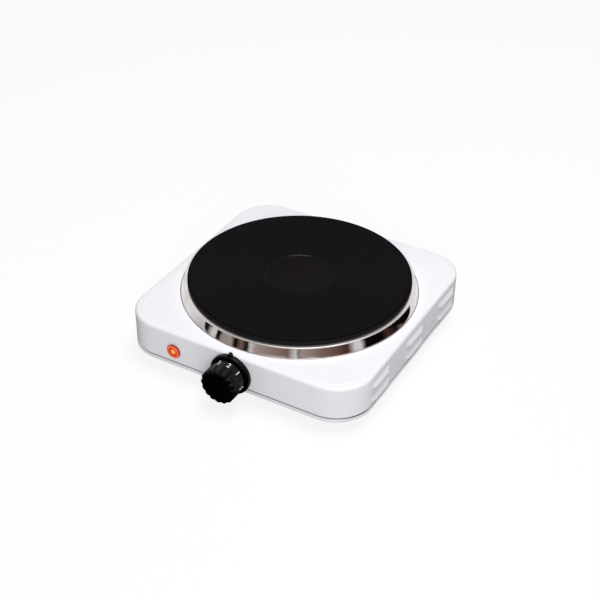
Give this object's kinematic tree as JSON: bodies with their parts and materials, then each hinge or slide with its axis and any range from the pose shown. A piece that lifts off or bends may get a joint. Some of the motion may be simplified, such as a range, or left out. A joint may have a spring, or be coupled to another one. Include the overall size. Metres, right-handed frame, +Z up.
{
  "type": "single electric hot plate",
  "caption": "Free-standing single electric hot plate: ribbed cast-iron disc in a polished ring on a square white steel body, with a lobed dial knob and an orange pilot lamp.",
  "frame": {"origin": "middle of the footprint of the whole object, on the surface that the feet stand on", "axes": "+Z up, -Y towards the control knob, +X to the right seen from the front"},
  "size_m": [0.2156, 0.2374, 0.056],
  "materials": {
    "enamel": "gloss white enamel",
    "base_paint": "satin white paint",
    "cast_iron": "matt black, turned",
    "polished_steel": "polished stainless",
    "black_plastic": "gloss black",
    "lamp_orange": "translucent orange",
    "lamp_glass": "clear",
    "rubber": "matt black",
    "zinc_steel": "zinc plated",
    "brass": "plain",
    "porcelain": "unglazed white porcelain",
    "dark_plastic": "moulded",
    "lead_white": "glass-fibre sleeve",
    "lead_green": "sleeve"
  },
  "bodies": {
    "housing": {"base_pan": "base_paint", "bimetal_strip": "zinc_steel", "block_screws": "zinc_steel", "cast_iron_plate": "cast_iron", "ceramic_filling": "porcelain", "clamp_bar": "zinc_steel", "clamp_nut": "zinc_steel", "clamp_washer": "zinc_steel", "clamping_screws": "brass", "contact_pins": "brass", "control_nut": "zinc_steel", "cord_gland": "dark_plastic", "cover_nut": "zinc_steel", "earth_tab": "brass", "foot_front_left": "rubber", "foot_front_right": "rubber", "foot_rear_left": "rubber", "foot_rear_right": "rubber", "foot_screws": "zinc_steel", "gland_nut": "dark_plastic", "heating_coil_inner": "zinc_steel", "heating_coil_outer": "zinc_steel", "knob_bezel": "black_plastic", "lead_earth": "lead_green", "lead_lamp_load": "lead_white", "lead_lamp_neutral": "lead_white", "lead_live": "lead_white", "lead_load": "lead_white", "lead_neutral": "lead_white", "lever_pin": "zinc_steel", "neon_bulb": "lamp_glass", "pilot_cap": "dark_plastic", "pilot_clip": "zinc_steel", "pilot_lens": "lamp_orange", "pin_links": "brass", "plate_cover": "zinc_steel", "plate_stud": "zinc_steel", "plate_terminal_block": "porcelain", "post_front_left": "zinc_steel", "post_front_right": "zinc_steel", "post_rear_left": "zinc_steel", "post_rear_right": "zinc_steel", "regulator_case": "dark_plastic", "regulator_cover": "dark_plastic", "regulator_tabs": "brass", "supply_terminal_block": "porcelain", "trim_ring": "polished_steel", "upper_shell": "enamel"},
    "control": {"knob": "black_plastic", "control_shaft": "zinc_steel", "cam": "dark_plastic"},
    "follower": {"follower_lever": "brass"}
  },
  "joints": [
    {"name": "knob_turn", "type": "hinge", "parent": "housing", "child": "control", "pos_m": [0, -0.09725, 0.0251], "axis": [0, 1, 0], "range_deg": [-104.5, 132]},
    {"name": "follower_swing", "type": "hinge", "parent": "housing", "child": "follower", "pos_m": [-0.012, -0.08525, 0.032], "axis": [0, -1, 0], "range_deg": [-3.23, 4.08]}
  ],
  "couplings": [
    {"joint": "follower_swing", "follows": "knob_turn", "ratio": 0.030271}
  ]
}
